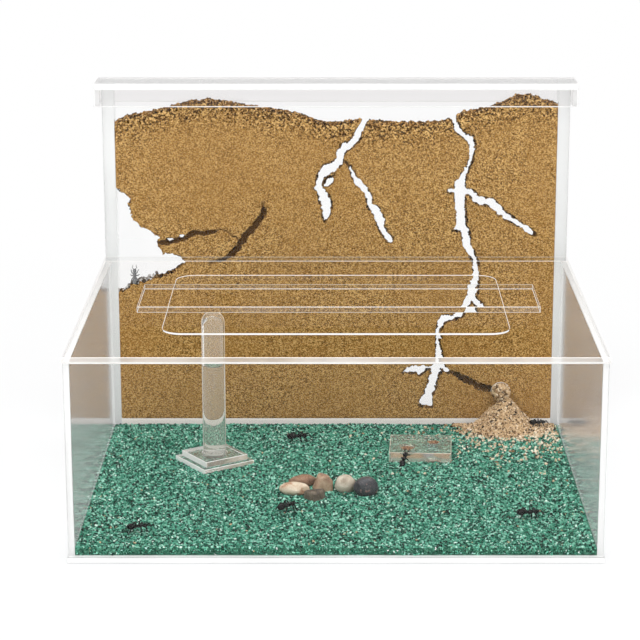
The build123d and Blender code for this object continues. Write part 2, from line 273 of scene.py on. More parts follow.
clearSheet = {
    "film": 0.02 * mm,  # air left round each sheet, so that joints show
    "bevel": 0.22 * mm,
    "tint": linear(253, 253, 253),
    "tints": {"lid": linear(248, 247, 247), "plate": linear(254, 253, 252), "strip": linear(254, 253, 252)},
    "gloss": 0.3,  # share of plain sheet's reflection that it keeps
    "edgeTint": linear(250, 250, 250),
    "hazeColour": linear(254, 246, 236),
    "faceLets": 0.985,  # lamp light that a face lets through
    "edgeLets": 0.8,
    "streakScale": 260.0,  # of the cutter's marks
    "arrisAngle": 50,  # degrees, from which an edge gets its arris taken off
    "smudge": 0.035,  # how rough smudges are
    "smudgeScale": 14.0,
    "insideWhite": 0.04,  # of the walls of holes
    "slantTint": linear(230, 231, 232),  # of the side walls, seen along their faces
    "filmAndEdgeShine": {"feeder": (0.05, 0.12), "stand": (0.03, 0.1), "sides": (0.0, 0.06)},
    # painted highlight: a white band along the top of the opening's front wall
    "highlightRim": 1.1 * mm,  # of the opening's front wall, from its top
    "patchScale": {"stand": 90.0},  # of white and clear parts along cut edges
    "straight": ("plate", "strip"),  # cut edges of these are seen through unbent
    "brightCorners": ("plate", "strip", "stand", "feeder"),  # their arrises look like cut edges' corners
    "slantBlur": {"sides": 0.14},  # how blurred a wall is, seen along its face
}
chalk = linear(248, 248, 247)
sheetLooks = {  # how white cut edges and arrises are, their colour, and the bending of light
    "box": (0.95, 0.5, chalk, 1.4),
    "sides": (0.95, 0.5, chalk, 1.4),
    "lid": (0.9, 0.9, linear(246, 245, 244), 1.4),
    "nest": (0.86, 0.5, linear(238, 238, 237), 1.4),
    # the bottom spacer, whiter and warmer than the rest of the nest: painted light where it lies in shade
    # behind the front pane
    "foot": (1.0, 1.0, linear(255, 248, 240), 1.4),
    "plate": (0.42, 1.0, linear(250, 247, 243), 1.012),
    "strip": (0.08, 1.0, linear(252, 248, 243), 1.012),
    "stand": (0.97, 1.0, linear(255, 253, 250), 1.15),
    "feeder": (0.16, 0.9, linear(244, 228, 212), 1.15),
}


def passLamps(tree, shader, colour):
    # lamps and soft light go straight through, everything that is looked at is refracted
    path = addNode(tree, "LightPath").outputs
    soft = calc(tree, "MAXIMUM", path["Is Shadow Ray"], path["Is Diffuse Ray"])
    through = addNode(tree, "BsdfTransparent", {"Color": colour}).outputs[0]
    return eitherShader(tree, soft, shader, through)


def clearFace(name, ior, tint, smudge, filmAndEdgeShine=None, slantTint=None, slantBlur=0.0):
    # the share of white film seen square on and along the surface; a high share along the surface, as on the
    # drinker tube, is a painted highlight at the sides
    material, tree = newMaterial(name)
    smears = cloudsAt(tree, objectPlace(tree), clearSheet["smudgeScale"], 6.0, 0.6)
    rough = addRamp(tree, smears, [(0.45, grey(0.0)), (0.8, grey(smudge))])
    slant = addNode(tree, "LayerWeight", {"Blend": 0.5}).outputs["Facing"]
    if slantBlur:
        rough = calc(tree, "ADD", rough, addRamp(tree, slant, [(0.75, grey(0.0)), (0.92, grey(slantBlur))]))
    if slantTint:
        tint = addRamp(tree, slant, [(0.6, tint), (0.92, slantTint)])
    glass = addNode(
        tree, "BsdfPrincipled",
        {"Base Color": tint, "Roughness": rough, "IOR": ior, "Transmission Weight": 1.0,
         "Specular Tint": grey(clearSheet["gloss"])},
    ).outputs[0]
    if filmAndEdgeShine:
        share = addRamp(tree, slant, [(0.62, grey(filmAndEdgeShine[0])), (0.86, grey(filmAndEdgeShine[1]))])
        film = addNode(tree, "BsdfDiffuse", {"Color": clearSheet["hazeColour"]}).outputs[0]
        glass = eitherShader(tree, share, glass, film)
    closeMaterial(tree, passLamps(tree, glass, grey(clearSheet["faceLets"])))
    return material


def cutEdge(name, whiteness, roughness, colour=chalk, ior=1.4, patchScale=18.0, straight=False, above=None):
    # a cut edge: it gathers light, with fine marks of the cutter across it
    material, tree = newMaterial(name)
    place = objectPlace(tree)
    if straight:
        clear = addNode(tree, "BsdfTransparent", {"Color": grey(0.95)})
    else:
        clear = addNode(
            tree, "BsdfPrincipled",
            {"Base Color": clearSheet["edgeTint"], "Roughness": roughness, "IOR": ior,
             "Transmission Weight": 1.0},
        )
    streaks = cloudsAt(tree, place, clearSheet["streakScale"], 3.0)
    white = opaque(tree, colour, 0.3, raised(tree, streaks, 0.25, 0.2 * mm))
    patches = cloudsAt(tree, place, patchScale)
    share = ranged(tree, patches, 0.3, 0.7, whiteness ** 2, min(1.0, whiteness * 1.4))
    if above is not None:
        height = addNode(tree, "SeparateXYZ", {0: place}).outputs["Z"]
        share = calc(tree, "MULTIPLY", share, calc(tree, "GREATER_THAN", height, above))
    both = eitherShader(tree, share, clear.outputs[0], white)
    closeMaterial(tree, passLamps(tree, both, grey(clearSheet["edgeLets"])))
    return material


def finishesOf(group):
    # of faces, cut edges, arrises and the walls of holes
    cut, arris, colour, ior = sheetLooks[group]
    straight = group in clearSheet["straight"]
    return (
        clearFace(
            group + "Face", ior, clearSheet["tints"].get(group, clearSheet["tint"]), clearSheet["smudge"],
            clearSheet["filmAndEdgeShine"].get(group), clearSheet["slantTint"] if group == "sides" else None,
            clearSheet["slantBlur"].get(group, 0.0),
        ),
        cutEdge(group + "Edge", cut, 0.12, colour, ior, clearSheet["patchScale"].get(group, 18.0), straight),
        cutEdge(group + "Arris", arris, 0.3, colour, ior),
        cutEdge(group + "Inside", clearSheet["insideWhite"], 0.05, colour, ior, straight=straight),
    )


sheetFinishes = {group: finishesOf(group) for group in sheetLooks}
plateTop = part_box("arena_top_plate")[1].z
extraFinishes = {  # the front of the opening, and the stand's sides on the right
    # painted highlight along the top of the front of the opening
    "plate": cutEdge("openingFrontHighlight", 1.0, 0.12, linear(252, 250, 248), 1.012, straight=True,
                     above=plateTop - clearSheet["highlightRim"]),
    # painted shade: the stand's cut edges that face right, away from the key lamp, less white and tan
    "stand": cutEdge("standRightShaded", 0.4, 0.12, linear(240, 220, 198), 1.15, clearSheet["patchScale"]["stand"]),
}


def sheetPiece(node, group):
    # the CAD sheet with its arrises taken off and its cut edges marked
    low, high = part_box(node)
    size = high - low
    middle = (low + high) / 2
    thin = min(range(3), key=lambda axis: size[axis])
    bm = cadCopy(node)
    bmesh.ops.dissolve_limit(bm, angle_limit=math.radians(0.5), verts=bm.verts, edges=bm.edges)
    shrink = [(length - 2 * clearSheet["film"]) / length for length in size]
    bmesh.ops.scale(bm, vec=shrink, space=Matrix.Translation(-middle), verts=bm.verts)
    arrises = [edge for edge in bm.edges if edge.calc_face_angle(0) > math.radians(clearSheet["arrisAngle"])]
    made = bmesh.ops.bevel(
        bm, geom=arrises, offset=clearSheet["bevel"], offset_type="OFFSET", segments=2, profile=0.5,
        affect="EDGES", material=-1, clamp_overlap=True,
    )
    corners = set(made["faces"]) if group in clearSheet["brightCorners"] else set()
    bm.normal_update()
    for face in bm.faces:
        lean = abs(face.normal[thin])
        reach = max((vert.co - middle).dot(face.normal) for vert in bm.verts) if lean < 0.99 else 0
        hole = (face.calc_center_median() - middle).dot(face.normal) < 0.97 * reach
        unlit = hole and (lean < 0.05 or face.normal[thin] < 0 or group == "feeder")
        if group == "plate" and lean < 0.05:  # only its front edge is white, and the front of its opening
            unlit = hole or face.normal.y > -0.5
        arris = lean >= 0.05 or face in corners
        slot = 0 if lean > 0.99 else 3 if unlit else 2 if arris else 1  # face, hole's wall, arris or cut edge
        # the face that carries the painted highlight
        openingFrontHighlight = group == "plate" and hole and lean < 0.99 and face.normal.y > 0.3
        standRightShaded = group == "stand" and slot == 1 and face.normal.x > 0
        face.material_index = 4 if openingFrontHighlight or standRightShaded else slot
        face.smooth = True
    for edge in bm.edges:  # the flat faces stay truly flat, so that they don't bend what is behind
        sides = {face.material_index for face in edge.link_faces}
        edge.smooth = len(sides) == 1 and 0 not in sides and edge.calc_face_angle(0) < math.radians(35)
    finishes = sheetFinishes[group] + ((extraFinishes[group],) if group in extraFinishes else ())
    return addPiece("sheet_" + node, bm, finishes, bodyOf[node], [node])


sheetGroups = {
    "box": ("base_plate", "arena_front_wall"),
    "lid": ("lid_top", "lid_front_skirt", "lid_back_skirt", "lid_left_skirt", "lid_right_skirt"),
    "sides": ("arena_left_wall", "arena_right_wall"),
    "nest": ("nest_front_pane", "nest_back_pane", "nest_left_spacer", "nest_right_spacer"),
    "foot": ("nest_bottom_spacer",),
    "plate": ("arena_top_plate",),
    "strip": ("cover_strip",),
    "stand": ("stand_lower", "stand_upper"),
    "feeder": ("feeder_block",),
}
for group, held in sheetGroups.items():
    for node in held:
        sheetPiece(node, group)
print("sheets done")


# grains of sand

grainCut = {"forms": 12, "jitter": 0.34, "seed": 7}


def grainForms():
    # a few crushed-looking grains of size 1, all with a cube's faces
    rng = random.Random(grainCut["seed"])
    forms = []
    for _ in range(grainCut["forms"]):
        bm = bmesh.new()
        bmesh.ops.create_cube(bm, size=0.8)
        for vert in bm.verts:
            vert.co += Vector(rng.uniform(-1, 1) for _ in range(3)) * grainCut["jitter"] / 2
        bmesh.ops.recalc_face_normals(bm, faces=bm.faces)
        forms.append([vert.co[:] for vert in bm.verts])
        faces = [[vert.index for vert in face.verts] for face in bm.faces]
        bm.free()
    return np.array(forms), np.array(faces)


grainPoints, grainFaces = grainForms()


def grainPiece(name, spots, sizes, seed, material, body):
    # one mesh with a turned copy of a grain at every spot, and a tone for each
    rng = np.random.default_rng(seed)
    count = len(spots)
    turn = rng.normal(size=(count, 4))
    turn /= np.linalg.norm(turn, axis=1, keepdims=True)
    w, x, y, z = turn.T
    rotation = np.stack([
        1 - 2 * (y * y + z * z), 2 * (x * y - z * w), 2 * (x * z + y * w),
        2 * (x * y + z * w), 1 - 2 * (x * x + z * z), 2 * (y * z - x * w),
        2 * (x * z - y * w), 2 * (y * z + x * w), 1 - 2 * (x * x + y * y),
    ], axis=1).reshape(count, 3, 3)
    stretch = rng.uniform(0.75, 1.25, size=(count, 1, 3))
    local = grainPoints[rng.integers(0, len(grainPoints), count)] * stretch
    local = local * np.asarray(sizes).reshape(count, 1, 1)
    places = np.einsum("nij,nkj->nki", rotation, local) + np.asarray(spots).reshape(count, 1, 3)
    corners = grainFaces[None] + (np.arange(count) * grainPoints.shape[1])[:, None, None]
    mesh = bpy.data.meshes.new(name)
    mesh.from_pydata(places.reshape(-1, 3), [], corners.reshape(-1, 4))
    tone = mesh.attributes.new("tone", "FLOAT", "POINT")
    tone.data.foreach_set("value", np.repeat(rng.uniform(size=count), grainPoints.shape[1]).astype(np.float32))
    return addPiece(name, mesh, [material], body)


def grainMaterial(name, stops, roughness, mottle, gloss):
    # each grain has its own colour, and faint cloudiness within
    material, tree = newMaterial(name)
    tone = addNode(tree, "Attribute", attribute_name="tone").outputs["Fac"]
    cloud = cloudsAt(tree, objectPlace(tree), 1800.0)
    shade = addRamp(tree, cloud, [(0.3, grey(1 - mottle)), (0.7, grey(1 + mottle))])
    colour = mixed(tree, 1.0, addRamp(tree, tone, stops, "CONSTANT"), shade, "MULTIPLY")
    closeMaterial(tree, opaque(tree, colour, roughness, gloss=gloss))
    return material


greenTones = tones(
    (0.0, 2, 32, 24), (0.17, 18, 80, 62), (0.35, 48, 124, 99), (0.54, 83, 160, 134), (0.75, 124, 192, 167),
    (0.9, 174, 224, 206), (0.97, 218, 240, 228), (0.986, 196, 170, 134), (0.992, 34, 32, 28),
)
tanTones = tones(
    (0.0, 112, 86, 58), (0.1, 164, 134, 98), (0.24, 198, 167, 127), (0.56, 219, 191, 152), (0.8, 240, 220, 190),
    (0.91, 52, 34, 18),
)
ochreTones = tones(
    (0.0, 36, 18, 4), (0.3, 100, 66, 26), (0.5, 150, 108, 54), (0.72, 192, 148, 88), (0.9, 230, 194, 136),
)
# grains on the walls of the diggings: mostly dark, partly their own colour and partly painted shade on the
# walls
shadedDugTones = tones((0.0, 26, 14, 6), (0.42, 88, 58, 24), (0.66, 152, 112, 60), (0.88, 206, 166, 108))
greenGrain = grainMaterial("greenGrain", greenTones, 0.42, 0.12, 0.2)
# the green grains 1.5 times lighter for the cut side of the bed behind the front wall: painted light against
# its shade
frontLitGrain = grainMaterial("frontLitGrain", dyed(greenTones, 1.5), 0.42, 0.12, 0.2)
tanGrain = grainMaterial("tanGrain", tanTones, 0.6, 0.08, 0.15)
# paler than the heap's grains: partly their own colour, partly painted light on grains that lie low among the
# shaded green ones
strewnLitTones = tones((0.0, 150, 118, 88), (0.15, 210, 184, 152), (0.45, 232, 212, 184), (0.8, 246, 234, 214))
strewnLitGrain = grainMaterial("strewnLitGrain", strewnLitTones, 0.6, 0.08, 0.15)
ochreGrain = grainMaterial("ochreGrain", ochreTones, 0.65, 0.08, 0.1)
shadedDugGrain = grainMaterial("shadedDugGrain", shadedDugTones, 0.7, 0.08, 0.1)


def packedSand(name, stops, grain, bump, uneven, crest=None, coarse=1.0, pressed=()):
    # sand as a surface: speckles of grain size, coarser under the crest, and darker deep inside the diggings as
    # painted shade
    material, tree = newMaterial(name)
    place = objectPlace(tree)
    cells = cellsAt(tree, place, grain)
    speck = addNode(tree, "SeparateColor", {0: cells["Color"]}).outputs[0]
    contrast = ranged(tree, cloudsAt(tree, place, 24.0, 3.0), 0.35, 0.65, *uneven)
    scaled = calc(tree, "MULTIPLY", calc(tree, "SUBTRACT", speck, 0.5), contrast)
    if crest:
        lump = addNode(tree, "SeparateColor", {0: cellsAt(tree, place, coarse)["Color"]}).outputs[0]
        level = calc(tree, "SUBTRACT", lump, 0.6)
        scaled = calc(tree, "MULTIPLY_ADD", level, underCrest(tree, place, crest), scaled)
    fine = cloudsAt(tree, place, 0.8 / grain, 3.0, 0.7)
    tone = calc(tree, "ADD", scaled, calc(tree, "MULTIPLY_ADD", fine, 0.4, 0.3))
    colour = addRamp(tree, tone, stops)
    if crest:
        # painted shade: the deeper a point lies inside a digging, the more it takes the dark colour
        hollowShade = addNode(tree, "Attribute", attribute_name="hollowShade").outputs["Fac"]
        colour = mixed(tree, hollowShade, colour, nestSand["hollowShadeColour"])
    if pressed:
        flat = addRamp(tree, speck, pressedTones, "CONSTANT")
        colour = mixed(tree, underThings(tree, place, pressed), colour, flat)
    relief = calc(tree, "MULTIPLY", cells["Distance"], contrast)
    lift = raised(tree, relief, bump, grain * 0.5, invert=True)
    closeMaterial(tree, opaque(tree, colour, 0.75, lift, 0.08))
    return material


def underCrest(tree, place, crest):
    # falls from looseContrast at the sand's crest to 0 at looseDepth below it
    low, high, heights = crest
    tall = high.z - low.z
    axes = addNode(tree, "SeparateXYZ", {0: place}).outputs
    line = addNode(tree, "FloatCurve", {"Value": ranged(tree, axes["X"], low.x, high.x)})
    curve = line.mapping.curves[0]
    share = [(height - low.z) / tall for height in heights]
    curve.points[0].location = (0.0, share[0])
    curve.points[1].location = (1.0, share[-1])
    for number in range(1, len(share) - 1):
        curve.points.new(number / (len(share) - 1), share[number])
    line.mapping.update()
    level = ranged(tree, axes["Z"], low.z, high.z, clamp=False)
    depth = calc(tree, "SUBTRACT", line.outputs[0], level)
    return ranged(tree, depth, 0.0, nestSand["looseDepth"] / tall, nestSand["looseContrast"], 0.0)


def underThings(tree, place, names):
    # 1 where one of the nodes stands, else 0
    axes = addNode(tree, "SeparateXYZ", {0: place}).outputs
    covered = 0.0
    for node in names:
        low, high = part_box(node)
        inside = 1.0
        for axis in range(2):
            near = calc(tree, "COMPARE", axes[axis], (high[axis] + low[axis]) / 2, (high[axis] - low[axis]) / 2)
            inside = calc(tree, "MULTIPLY", inside, near)
        covered = calc(tree, "MAXIMUM", covered, inside)
    return covered


pressedTones = dyed(greenTones, 0.85)
# the bed's surface, seen between the grains, much darker than they are: painted shade in the gaps
bedSandGapShade = packedSand(
    "bedSandGapShade", tones((0.02, 10, 46, 34), (0.5, 40, 98, 76), (0.98, 84, 144, 118)), 0.8 * mm, 0.8, (0.6, 0.9),
    pressed=("stand_lower", "feeder_block"),
)
heapFinish = packedSand(
    "heapFinish", tones((0.02, 98, 72, 44), (0.5, 194, 162, 116), (0.98, 238, 212, 170)), 0.8 * mm, 0.6,
    (0.9, 1.2),
)

# sand in the nest

nestSand = {
    "voxel": 0.62 * mm,
    "keep": 0.36,
    "ragged": 1.05 * mm,  # how far the dug and fallen edges are uneven
    "raggedScale": 430.0,
    "setBack": 0.6 * mm,  # how much wider the diggings are than their middle line says
    "clear": 0.06 * mm,  # from the panes
    "looseDepth": 16 * mm,  # coarse loose sand under the crest
    "looseContrast": 1.45,
    # colour of the painted shade deep in the diggings and cracks
    "hollowShadeColour": linear(88, 58, 24),
    "crestGrain": (0.55 * mm, 1.15 * mm),
    "crestGrains": 6500,
    "edgeGrain": (0.5 * mm, 1.05 * mm),
    "edgeGrains": 9000,
    "seed": 11,
}
cracks = (  # fine dark cracks in the face of the sand: x and z in mm, half width and depth in mm
    {"path": ((-97.5, 107.6), (-93.5, 106.8), (-89.6, 107.2), (-85.0, 108.6), (-81.6, 110.6), (-77.0, 113.8),
              (-73.6, 112.6), (-69.0, 113.0), (-63.4, 114.4), (-58.6, 112.8), (-54.2, 110.0), (-50.6, 108.0)),
     "half": 0.42, "deep": 1.7, "sway": 1.3},
    {"path": ((-39.6, 129.4), (-39.2, 126.0), (-40.8, 121.4), (-45.1, 115.3), (-48.5, 111.8), (-50.8, 108.4),
              (-55.3, 102.1), (-61.1, 97.6), (-68.5, 95.3)), "half": 1.15, "deep": 1.4, "sway": 0.5},
    {"path": ((63.9, 34.1), (67.0, 32.7), (72.0, 30.0), (77.6, 26.9), (82.0, 25.3), (87.0, 24.6)),
     "half": 1.7, "deep": 1.6, "sway": 0.4},
    {"path": ((2.2, 154.6), (4.2, 152.6), (7.0, 149.6)), "half": 0.7, "deep": 3.0, "sway": 0.3},
    {"path": ((-6.6, 139.6), (-4.4, 142.2), (-2.0, 144.4)), "half": 1.3, "deep": 5.0, "sway": 0.3},
)
gaps = (  # fallen out right through the sand: outlines of x and z in mm
    ((-84.2, 99.0), (-83.0, 95.6), (-89.4, 89.9), (-95.0, 87.6), (-99.2, 87.6), (-104.3, 84.9), (-110.8, 83.8),
     (-114.7, 80.4), (-121.0, 78.2), (-121.0, 92.0), (-106.0, 97.0), (-90.0, 101.0)),
    ((-92.6, 108.3), (-91.0, 109.9), (-88.2, 109.4), (-87.4, 108.3), (-89.6, 107.0), (-91.8, 107.3)),
    ((-85.6, 109.6), (-84.2, 111.2), (-82.2, 111.4), (-81.9, 110.0), (-84.2, 108.8)),
)


def gapCutter(low, high):
    bm = bmesh.new()
    for outline in gaps:
        face = bm.faces.new([bm.verts.new((x * mm, low.y - mm, z * mm)) for x, z in outline])
        pulled = bmesh.ops.extrude_face_region(bm, geom=[face], use_keep_orig=True)
        moved = [item for item in pulled["geom"] if isinstance(item, bmesh.types.BMVert)]
        bmesh.ops.translate(bm, vec=(0, high.y - low.y + 2 * mm, 0), verts=moved)
    bmesh.ops.recalc_face_normals(bm, faces=bm.faces)
    return bm


def crestHeights(low, high, stations=15):
    tree = castOn("nest_sand")
    middle = (low.y + high.y) / 2
    heights = []
    for number in range(stations):
        x = low.x + mm + (high.x - low.x - 2 * mm) * number / (stations - 1)
        hits = [below(tree, x + shift * mm, middle, high.z + 0.1) for shift in (-4, 0, 4)]
        heights.append(max(hit.z for hit in hits if hit))
    return heights


def besidePath(at, path):
    # distance of each point from a path in the plane of the panes
    best = np.full(len(at), 1.0)
    flat = at[:, [0, 2]]
    for start, end in zip(path, path[1:]):
        a, b = np.array(start) * mm, np.array(end) * mm
        run = b - a
        share = (((flat - a) @ run) / (run @ run)).clip(0, 1)
        best = np.minimum(best, np.linalg.norm(flat - a - share[:, None] * run, axis=1))
    return best


def nestSandPiece():
    low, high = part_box("nest_sand")
    mesh = remeshed(cadCopy("nest_sand"), nestSand["voxel"], cutter=gapCutter(low, high))
    at = points(mesh)
    out = normals(mesh)
    level = np.hypot(out[:, 0], out[:, 2])
    sideways = ((level - 0.12) / 0.3).clip(0, 1) / level.clip(1e-3)
    inset = 1.0 * mm
    free = (at[:, 0] > low.x + inset) & (at[:, 0] < high.x - inset) & (at[:, 2] > low.z + inset)
    through = at * (1, 0.25, 1)  # the unevenness runs nearly straight through the sand
    scale = nestSand["raggedScale"]
    rough = noiseAt(through, scale) + 0.6 * noiseAt(through, 2.3 * scale, 5.0)
    rough += 0.3 * noiseAt(at, 3 * scale, 9.0)
    push = (rough * nestSand["ragged"] - nestSand["setBack"]) * sideways * free
    at[:, 0] += out[:, 0] * push
    at[:, 2] += out[:, 2] * push
    face = at[:, 1] < low.y + 0.5 * mm
    for number, crack in enumerate(cracks):
        swayed = at + noiseAt(at * (1, 0, 1), 330.0, number)[:, None] * crack["sway"] * mm
        near = besidePath(swayed, crack["path"]) / (crack["half"] * mm)
        at[:, 1] += crack["deep"] * mm * (1.6 * (1 - near)).clip(0, 1) * face
    edge = nestSand["clear"]
    at[:, 1] = at[:, 1].clip(low.y + edge, high.y - edge)
    at[:, 0] = at[:, 0].clip(low.x + edge, high.x - edge)
    at[:, 2] = at[:, 2].clip(low.z + edge, high.z)
    setPoints(mesh, at)
    mesh = thinned(mesh, nestSand["keep"])
    at = points(mesh)
    inside = np.minimum(at[:, 1] - low.y, high.y - at[:, 1]) / mm
    # painted shade, from how deep each point lies inside the diggings
    hollowShade = mesh.attributes.new("hollowShade", "FLOAT", "POINT")
    deep = ((inside - 0.4) / 1.6).clip(0, 0.85)
    hollowShade.data.foreach_set("value", deep.astype(np.float32))
    finish = packedSand(
        "nestSandFinish", tones((0.02, 56, 32, 6), (0.5, 168, 124, 64), (0.98, 232, 192, 124)), 0.5 * mm, 0.5,
        (0.5, 0.85), (low, high, crestHeights(low, high)), 0.8 * mm,
    )
    return addPiece("nestSandBody", mesh, [finish], "habitat", ["nest_sand"], smoothAngle=60)


nestSandBody = nestSandPiece()


def crestGrainSpots():
    # loose grains on the crest and on every ledge inside the nest
    rng = random.Random(nestSand["seed"])
    low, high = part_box("nest_sand")
    tree = BVHTree.FromObject(nestSandBody, bpy.context.evaluated_depsgraph_get())
    spots = []
    margin = nestSand["crestGrain"][1] * 0.6
    while len(spots) < nestSand["crestGrains"]:
        x, y = rng.uniform(low.x + margin, high.x - margin), rng.uniform(low.y + margin, high.y - margin)
        hit = below(tree, x, y, high.z + 5 * mm)
        if hit is not None and hit.z >= high.z - 30 * mm:
            spots.append(hit + Vector((0, 0, rng.uniform(-0.2, 0.45) * mm)))
    return spots


def edgeGrainSpots():
    # grains on the sides of the diggings, thick in some places and thin in others
    rng = random.Random(nestSand["seed"] + 5)
    low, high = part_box("nest_sand")
    mesh = nestSandBody.data
    margin = nestSand["edgeGrain"][1] * 0.6
    centres = np.array([face.center for face in mesh.polygons])
    bare = besidePath(centres, cracks[0]["path"]) < 1.7 * mm  # the thin crack stays thin
    sides = [face for face in mesh.polygons if abs(face.normal.y) < 0.6 and low.y + margin < face.center.y
             and face.center.y < high.y - margin and low.x + mm < face.center.x < high.x - mm
             and face.center.z > low.z + mm and not bare[face.index]]
    totals = np.cumsum([face.area for face in sides])
    spots = []
    while len(spots) < nestSand["edgeGrains"]:
        face = sides[int(np.searchsorted(totals, rng.random() * totals[-1]))]
        corners = [mesh.vertices[index].co for index in face.vertices]
        a, b = sorted((rng.random(), rng.random()))
        spot = corners[0] * a + corners[1] * (b - a) + corners[2] * (1 - b)
        thick = noise.noise(Vector((spot.x, 0, spot.z)) * 120.0)
        inside = low.y + margin < spot.y < high.y - margin
        if inside and rng.random() < 0.45 + 2.2 * thick:
            spots.append(spot + face.normal * rng.uniform(-0.2, 0.3) * mm)
    return spots


def grainsOn(name, spots, sizes, seed, material):
    rng = random.Random(seed)
    return grainPiece(name, spots, [rng.uniform(*sizes) for _ in spots], seed, material, "habitat")


grainsOn("nestCrestGrains", crestGrainSpots(), nestSand["crestGrain"], 3, ochreGrain)
# dark grains on the walls of the diggings, partly painted shade
grainsOn("nestEdgeGrains", edgeGrainSpots(), nestSand["edgeGrain"], 4, shadedDugGrain)
print("nest sand done", len(nestSandBody.data.polygons))

# green sand bed

bed = {
    "spacing": 0.82 * mm,
    "grain": (0.75 * mm, 1.2 * mm),
    "rise": (-0.25 * mm, 0.3 * mm),
    "wave": 0.35 * mm,
    "waveScale": 55.0,
    "frontRows": 6,
    "margin": 0.55 * mm,  # from the walls to a grain's middle
    "strips": 6,
    "seed": 21,
    "grainSeed": 30,
}
standing = ("stand_lower", "feeder_block", "sand_heap", "pebble_brown", "pebble_rose_white", "pebble_wedge",
            "pebble_slate", "pebble_cream", "pebble_charcoal")


def bedSpots():
    rng = random.Random(bed["seed"])
    low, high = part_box("sand_bed")
    surface = castOn("sand_bed")
    things = [castOn(node) for node in standing]
    spots = []
    step, margin = bed["spacing"], bed["margin"]
    for row in range(int((high.y - low.y - margin) / step)):
        for column in range(int((high.x - low.x - margin) / step)):
            x = low.x + margin + (column + rng.uniform(-0.1, 0.9)) * step
            y = low.y + margin + (row + rng.uniform(-0.1, 0.9)) * step
            if not (low.x + margin < x < high.x - margin and low.y + margin < y < high.y - margin):
                continue
            if any(below(thing, x, y, high.z + 0.1) for thing in things):
                continue
            wave = noise.noise(Vector((x, y, 0)) * bed["waveScale"]) * bed["wave"]
            spots.append((x, y, below(surface, x, y, high.z + 0.1).z + wave + rng.uniform(*bed["rise"])))
    for row in range(bed["frontRows"]):  # the cut side of the bed, against the front wall
        z = low.z + margin + (row + 0.1) * (high.z - low.z - margin) / bed["frontRows"]
        for column in range(int((high.x - low.x - 2 * margin) / step)):
            x = low.x + margin + (column + rng.random()) * step
            spots.append((x, low.y + margin, z + rng.uniform(-0.2, 0.2) * mm))
    return spots


spots = sorted(bedSpots(), key=lambda spot: spot[1])
frontCount = sum(spot[1] <= spots[0][1] + 1e-9 for spot in spots)
front, spots = spots[:frontCount], spots[frontCount:]
rng = random.Random(bed["seed"] + 1)
sizes = [rng.uniform(*bed["grain"]) for _ in spots]
share = math.ceil(len(spots) / bed["strips"])
for strip in range(bed["strips"]):
    part, seed = slice(strip * share, (strip + 1) * share), bed["grainSeed"] + 1 + strip
    grainPiece(f"bedGrains{strip + 1}", spots[part], sizes[part], seed, greenGrain, "habitat")
frontSizes = [rng.uniform(*bed["grain"]) for _ in front]
# the cut side takes the lighter green, painted light
grainPiece("bedFront", front, frontSizes, bed["grainSeed"], frontLitGrain, "habitat")
nodes["sand_bed"].material_slots[0].material = bedSandGapShade
print("bed done", len(spots), "grains")

# heap of dug sand, spilling from the entrance

heap = {
    "voxel": 0.55 * mm,
    "ragged": 0.5 * mm,
    "grain": (0.7 * mm, 1.35 * mm),
    "grains": 2600,
    "frontGrains": 900,
    "apron": 1500,  # grains round its foot
    "apronReach": 11 * mm,
    "scatter": 1000,  # grains strewn over the bed
    "lie": (0.45 * mm, 0.85 * mm),  # height of strewn grains over the bed
    "reach": 80 * mm,
    "spread": 0.48,  # how far in that reach they lie, as a normal spread
    "lean": 1.75,  # the way most of them lie, in half turns
    "seed": 41,
}


def heapPiece():
    mesh = remeshed(cadCopy("sand_heap"), heap["voxel"])
    low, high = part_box("sand_heap")
    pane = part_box("nest_front_pane")[0].y
    at = points(mesh)
    out = normals(mesh)
    rough = noiseAt(at, 420.0, 2.0) + 0.6 * noiseAt(at, 900.0, 8.0)
    free = (at[:, 1] < pane - 0.3 * mm) & (at[:, 2] > low.z + 1.5 * mm)
    at += out * (rough * free * heap["ragged"])[:, None]
    at[:, 1] = at[:, 1].clip(low.y, high.y)
    at[:, 2] = at[:, 2].clip(low.z, high.z)
    setPoints(mesh, at)
    return addPiece("heapBody", mesh, [heapFinish], "habitat", ["sand_heap"], smoothAngle=60)


